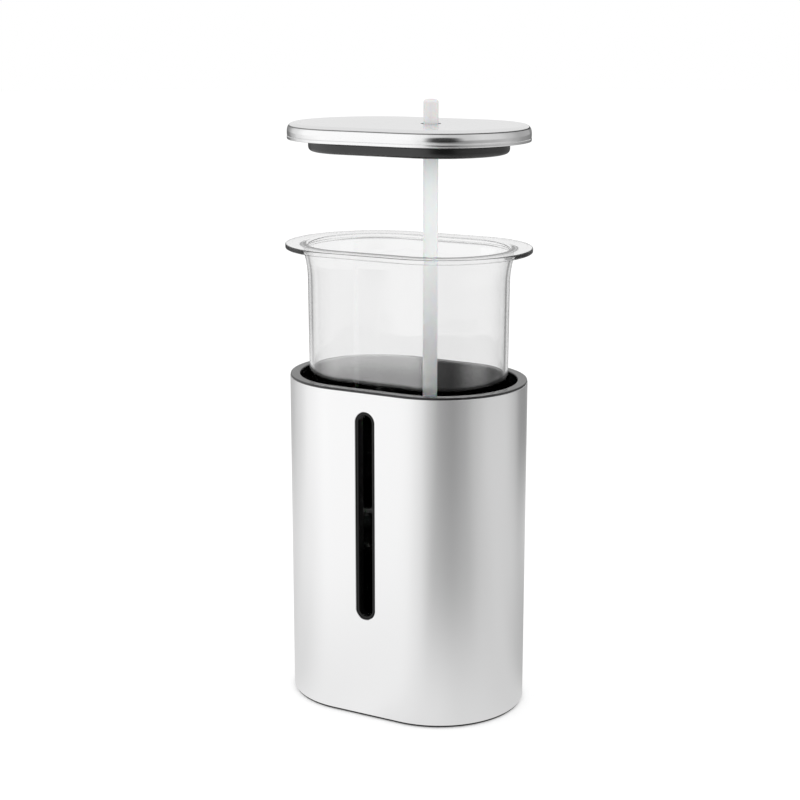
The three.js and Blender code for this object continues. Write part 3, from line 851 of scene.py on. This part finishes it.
def bush_sleeve():
    """The bush that holds the tube."""
    low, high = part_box("tube_bush")
    bore = TUBE_RADIUS + FIT_GAP
    outer = (high.x - low.x) / 2
    return piece("bush_sleeve", turned([
        (bore, low.z),
        (outer, low.z),
        (outer, high.z),
        (bore, high.z),
        (bore, low.z),
    ], (TUBE_AXIS.x, TUBE_AXIS.y, 0)))


def milk_tube():
    """The tube, with a rounded upper end."""
    bore = 0.002
    lip = 0.0014
    low, high = TUBE_LOW.z, TUBE_HIGH.z
    return piece("milk_tube", turned([
        (bore, low),
        (TUBE_RADIUS, low),
        *arc((TUBE_RADIUS - lip, high - lip), lip, 0, 90),
        (bore, high),
        (bore, low),
    ], (TUBE_AXIS.x, TUBE_AXIS.y, 0)))


seat(steel_sleeve(), "housing", "brushed_steel", BRUSHED_STEEL, "outer_sleeve")
seat(liner_shell(), "housing", "black_plastic", BLACK_PLASTIC, "inner_liner")
seat(collar_ring(), "housing", "black_plastic", BLACK_PLASTIC, "top_ring")
seat(window_bezel(), "housing", "black_plastic", DULL_PLASTIC, "window_frame")
seat(floor_plate(), "housing", "black_plastic", DULL_PLASTIC, "base_plate")
for corner in range(1, 5):
    seat(rubber_foot(corner), "housing", "foot_rubber", FOOT_RUBBER, f"base_foot_{corner}")
    seat(plate_screw(corner), "housing", "screw_steel", SCREW_STEEL, f"base_screw_{corner}")
seat(clear_tank(), "tank", "clear_plastic", CLEAR_PLASTIC, "milk_tank")
seat(steel_cap(), "lid", "brushed_steel", LID_STEEL, "lid_cap")
seat(lid_plug(), "lid", "black_plastic", BLACK_PLASTIC, "lid_insert")
seat(seal_ring(), "lid", "black_silicone", BLACK_SILICONE, "lid_seal")
seat(bush_sleeve(), "lid", "black_silicone", BLACK_SILICONE, "tube_bush")
seat(milk_tube(), "tube", "white_silicone", WHITE_SILICONE, "suction_tube")


# Studio


# Camera, at the photograph's viewing angle
LENS = 76.27
SENSOR = 36.0
CAMERA_DIRECTION = math.radians(28.86)
CAMERA_PITCH = math.radians(13.2)
CAMERA_DISTANCE = 0.82
TARGET_SIDEWAYS = -0.0038
TARGET_HEIGHT = 0.14841
# The direction that the camera looks in, seen from above
AWAY = CAMERA_DIRECTION - math.pi

# Tones that polish mirrors, by the direction round the object in degrees from its front, as (direction,
# level). The first four lie on the floor, from the object outwards, and the last stands round it.
TONES = {
    "Near": [(-180, 0.6), (-150, 0.92), (-115, 0.69), (-76, 0.74), (-32, 0.9), (-6, 0.92), (14, 0.85),
             (34, 0.8), (60, 0.73), (104, 0.67), (140, 0.5), (165, 0.45)],
    "Mid": [(-170, 0.8), (-130, 0.76), (-108, 0.73), (-72, 0.89), (-32, 1.02), (-12, 0.96), (5, 0.82),
            (26, 0.47), (46, 0.4), (64, 0.46), (84, 0.61), (106, 0.67), (128, 0.65), (154, 0.55),
            (175, 0.6)],
    "Far": [(-170, 0.4), (-150, 0.45), (-116, 0.54), (-92, 0.72), (-66, 0.96), (-40, 1.06), (-14, 1.0),
            (3, 0.86), (17, 0.59), (30, 0.36), (46, 0.3), (60, 0.38), (76, 0.56), (94, 0.68), (120, 0.68),
            (138, 0.55), (154, 0.3), (175, 0.3)],
    "Rim": [(-170, 0.2), (-145, 0.12), (-122, 0.2), (-104, 0.5), (-88, 0.8), (-66, 0.98), (-40, 1.06),
            (-14, 1.0), (3, 0.86), (17, 0.59), (30, 0.36), (46, 0.28), (60, 0.3), (76, 0.4), (94, 0.45),
            (120, 0.5), (138, 0.4), (154, 0.3), (175, 0.25)],
    "Side": [(-170, 0.25), (-146, 0.16), (-124, 0.3), (-98, 0.78), (-70, 1.05), (-20, 1.05), (0, 0.95),
             (18, 0.72), (40, 0.6), (62, 0.62), (84, 0.72), (108, 0.68), (126, 0.55), (146, 0.4),
             (170, 0.42)],
}


def surroundings_group():
    """How bright the studio looks in polish, by the direction round the object."""
    outputs = [(label, "NodeSocketColor") for label in TONES]
    outputs += [("Turn", "NodeSocketFloat"), ("Away", "NodeSocketFloat")]
    tree, given, result = new_group("surroundings", [("X", 0.0), ("Y", 0.0)], outputs)
    x, y = given["X"], given["Y"]
    turn = maths(tree, "ARCTAN2", x, maths(tree, "MULTIPLY", y, -1.0))
    share = maths(tree, "MULTIPLY_ADD", turn, 0.5 / math.pi, 0.5)
    for label, tones in TONES.items():
        stops = [((direction + 180) / 360, level) for direction, level in tones]
        tree.links.new(ramped(tree, share, stops), result[label])
    along = maths(tree, "MULTIPLY_ADD", x, math.sin(AWAY), maths(tree, "MULTIPLY", y, -math.cos(AWAY)))
    tree.links.new(turn, result["Turn"])
    tree.links.new(along, result["Away"])
    return tree


SURROUNDINGS = surroundings_group()
WHITE = grey(1)
BLACK = grey(0)
# What clear plastic lets through of the background
SEEN_THROUGH = grey(0.95)


def around(tree, vector):
    """The surroundings in the direction of a vector, and the vector's height."""
    split = parts_of(tree, vector)
    group = add_group(tree, SURROUNDINGS)
    for label in ("X", "Y"):
        tree.links.new(split[label], group.inputs[label])
    return group.outputs, split["Z"]


AMBIENT = 1.3
# The sky, and the dark line where it ends, by how far a polished face that mirrors it tilts up. The line
# grows darker as the face leans to the right.
SKY = grey(0.81)
SKY_TILT = (math.radians(30), math.radians(34))
LINE_LOW = (math.radians(25), math.radians(29))
LINE_HIGH = (math.radians(34), math.radians(38))
LINE_LEAN = (-0.3, 0.5)
LINE_LEFT = grey(0.2)
LINE_RIGHT = grey(0.05)
# The dark top of the sky, which shows only through clear plastic, by its height
TOP_DARK = grey(0.1)
TOP_RANGE = (math.radians(64), math.radians(78))
# The dark panel in front on the right: its middle and half its spread, round and up, in degrees
PANEL_TURN, PANEL_SPREAD = 31.0, 22.0
PANEL_TOP, PANEL_FADE = 3.0, 8.0
# Where the panel ends on the floor, and how softly, in metres
PANEL_FOOT, PANEL_FOOT_FADE = 2.2, 0.8
PANEL_EDGE = (0.2, 1.8)
PANEL_DARKNESS = 0.93
# Towards the camera from the lid
LENS_RISE = math.radians(4.2)
LENS_SIDE = Vector((-math.sin(AWAY), math.cos(AWAY), math.tan(LENS_RISE)))


def panel(tree, turn, beyond):
    """A dark panel that stands at one side of the camera, with soft edges."""
    across = maths(tree, "MULTIPLY_ADD", turn, math.degrees(1) / PANEL_SPREAD, -PANEL_TURN / PANEL_SPREAD)
    past = maths(tree, "MAXIMUM", beyond, 0.0)
    apart = maths(tree, "ADD", maths(tree, "POWER", across, 2.0), maths(tree, "POWER", past, 2.0))
    return ranged(tree, apart, *PANEL_EDGE, PANEL_DARKNESS, 0.0)


def lit_tone(tree, path, tone, ambient):
    """A plain level for everything that is lit softly, so that the pattern shows in polish alone."""
    soft = maths(tree, "GREATER_THAN", path["Diffuse Depth"], 0.5)
    soft = maths(tree, "MAXIMUM", soft, path["Is Diffuse Ray"])
    return blended(tree, soft, tone, grey(ambient))


def studio_world():
    """An even sky that ends in a dark line, over bright sides with a dark panel."""
    world = bpy.data.worlds.new("studio")
    world.use_nodes = True
    bpy.context.scene.world = world
    tree = world.node_tree
    direction = tree.nodes.new("ShaderNodeTexCoord").outputs["Generated"]
    seen, up = around(tree, direction)
    halfway = vector_maths(tree, "ADD", direction, LENS_SIDE)
    lean = parts_of(tree, vector_maths(tree, "NORMALIZE", halfway))
    tilt = maths(tree, "ARCSINE", lean["Z"])
    height = maths(tree, "ARCSINE", up)
    beyond = maths(tree, "MULTIPLY_ADD", height, math.degrees(1) / PANEL_FADE, -PANEL_TOP / PANEL_FADE)
    tone = blended(tree, panel(tree, seen["Turn"], beyond), seen["Side"], BLACK)
    tone = blended(tree, ranged(tree, tilt, *SKY_TILT), tone, SKY)
    over_line = ranged(tree, tilt, *LINE_HIGH, 1.0, 0.0)
    line = maths(tree, "MULTIPLY", ranged(tree, tilt, *LINE_LOW), over_line)
    line_tone = blended(tree, ranged(tree, lean["X"], *LINE_LEAN), LINE_LEFT, LINE_RIGHT)
    tone = blended(tree, line, tone, line_tone)
    path = tree.nodes.new("ShaderNodeLightPath").outputs
    through = blended(tree, ranged(tree, height, *TOP_RANGE), SEEN_THROUGH, TOP_DARK)
    tone = blended(tree, path["Is Transmission Ray"], tone, through)
    tone = blended(tree, path["Is Camera Ray"], tone, WHITE)
    tone = lit_tone(tree, path, tone, AMBIENT)
    tree.links.new(tone, tree.nodes["Background"].inputs["Color"])


FLOOR_RADIUS = 6.0
FLOOR_STEPS = 128
FLOOR_GLOW = 0.3
FLOOR_PAINT = grey(0.6)
FLOOR_LIGHT = 1.25
# Distances from the object over which the floor's tones pass into the next
NEAR_TO_MID = (0.05, 0.3)
MID_TO_FAR = (0.26, 0.6)
FAR_TO_RIM = (0.8, 1.05)
# Clear plastic lets the background through where the floor lies far behind the object, as a share of its
# distance, and where it lies near the object, in metres
BEHIND = (0.8, 0.9)
NEARBY = (0.2, 0.3)


def mixed(tree, share, near, far):
    """One shader or another."""
    node = tree.nodes.new("ShaderNodeMixShader")
    for socket, value in zip(node.inputs, (share, near, far)):
        tree.links.new(value, socket)
    return node.outputs[0]


def studio_floor():
    """A floor that looks white and keeps the shadow, and mirrors as the tones around the object."""
    mesh = bmesh.new()
    bmesh.ops.create_circle(mesh, cap_ends=True, segments=FLOOR_STEPS, radius=FLOOR_RADIUS)
    floor = piece("floor", mesh)
    made = bpy.data.materials.new("white_floor")
    made.use_nodes = True
    tree = made.node_tree
    shader = tree.nodes["Principled BSDF"]
    shader.inputs["Roughness"].default_value = 0.9
    shader.inputs["Specular IOR Level"].default_value = 0.0
    shader.inputs["Base Color"].default_value = FLOOR_PAINT
    place = object_place(tree)
    seen, _ = around(tree, place)
    distance = wired(tree, "ShaderNodeVectorMath", "LENGTH", place)["Value"]
    tone = blended(tree, ranged(tree, distance, *NEAR_TO_MID), seen["Near"], seen["Mid"])
    tone = blended(tree, ranged(tree, distance, *MID_TO_FAR), tone, seen["Far"])
    tone = blended(tree, ranged(tree, distance, *FAR_TO_RIM), tone, seen["Rim"])
    nearer = maths(tree, "MULTIPLY_ADD", distance, -1 / PANEL_FOOT_FADE, PANEL_FOOT / PANEL_FOOT_FADE)
    tone = blended(tree, panel(tree, seen["Turn"], nearer), tone, BLACK)
    path = tree.nodes.new("ShaderNodeLightPath").outputs
    behind = ranged(tree, maths(tree, "DIVIDE", seen["Away"], distance), *BEHIND)
    straight = maths(tree, "LESS_THAN", path["Glossy Depth"], 0.5)
    nearby = ranged(tree, distance, *NEARBY, 1.0, 0.0)
    clear = maths(tree, "MAXIMUM", maths(tree, "MAXIMUM", behind, straight), nearby)
    clear = maths(tree, "MULTIPLY", path["Is Transmission Ray"], clear)
    tone = blended(tree, clear, tone, SEEN_THROUGH)
    tone = blended(tree, path["Is Camera Ray"], tone, WHITE)
    tone = lit_tone(tree, path, tone, FLOOR_LIGHT)
    strength = ranged(tree, path["Is Camera Ray"], 0.0, 1.0, 1.0, FLOOR_GLOW)
    glow = add_node(tree, "ShaderNodeEmission", Color=tone, Strength=strength).outputs[0]
    paint = shader.outputs[0]
    painted = tree.nodes.new("ShaderNodeAddShader")
    tree.links.new(paint, painted.inputs[0])
    tree.links.new(glow, painted.inputs[1])
    plain = mixed(tree, path["Is Camera Ray"], paint, painted.outputs[0])
    shown = mixed(tree, maths(tree, "SUBTRACT", 1.0, path["Is Camera Ray"]), plain, glow)
    tree.links.new(shown, tree.nodes["Material Output"].inputs["Surface"])
    floor.data.materials.append(made)


LAMP_TARGET = Vector((0, 0, 0.15))


def softbox(name, direction, height, distance, size, power):
    """A square lamp that looks at the middle of the object from a direction in degrees from its front."""
    angle = math.radians(direction)
    place = Vector((distance * math.sin(angle), -distance * math.cos(angle), height))
    light = bpy.data.lights.new(name, "AREA")
    light.shape = "SQUARE"
    light.size = size
    light.energy = power
    lamp = bpy.data.objects.new(name, light)
    lamp.location = place
    lamp.rotation_euler = (LAMP_TARGET - place).to_track_quat("-Z", "Y").to_euler()
    lamp.visible_glossy = False
    lamp.visible_camera = False
    bpy.context.scene.collection.objects.link(lamp)


def photograph_camera():
    """The camera that sees the object as the photograph does."""
    lens = bpy.data.cameras.new("camera")
    lens.lens = LENS
    lens.sensor_width = SENSOR
    camera = bpy.data.objects.new("camera", lens)
    side = Vector((math.cos(CAMERA_DIRECTION), math.sin(CAMERA_DIRECTION), 0))
    target = side * TARGET_SIDEWAYS + Vector((0, 0, TARGET_HEIGHT))
    back = Vector((
        math.sin(CAMERA_DIRECTION) * math.cos(CAMERA_PITCH),
        -math.cos(CAMERA_DIRECTION) * math.cos(CAMERA_PITCH),
        math.sin(CAMERA_PITCH),
    ))
    camera.location = target + back * CAMERA_DISTANCE
    camera.rotation_euler = back.to_track_quat("Z", "Y").to_euler()
    bpy.context.scene.collection.objects.link(camera)
    bpy.context.scene.camera = camera


studio_world()
studio_floor()
softbox("left_softbox", direction=-60, height=0.9, distance=1.1, size=0.8, power=2.0)
softbox("right_softbox", direction=80, height=0.8, distance=1.1, size=0.8, power=1.0)
photograph_camera()

bpy.context.scene.view_settings.view_transform = "Standard"
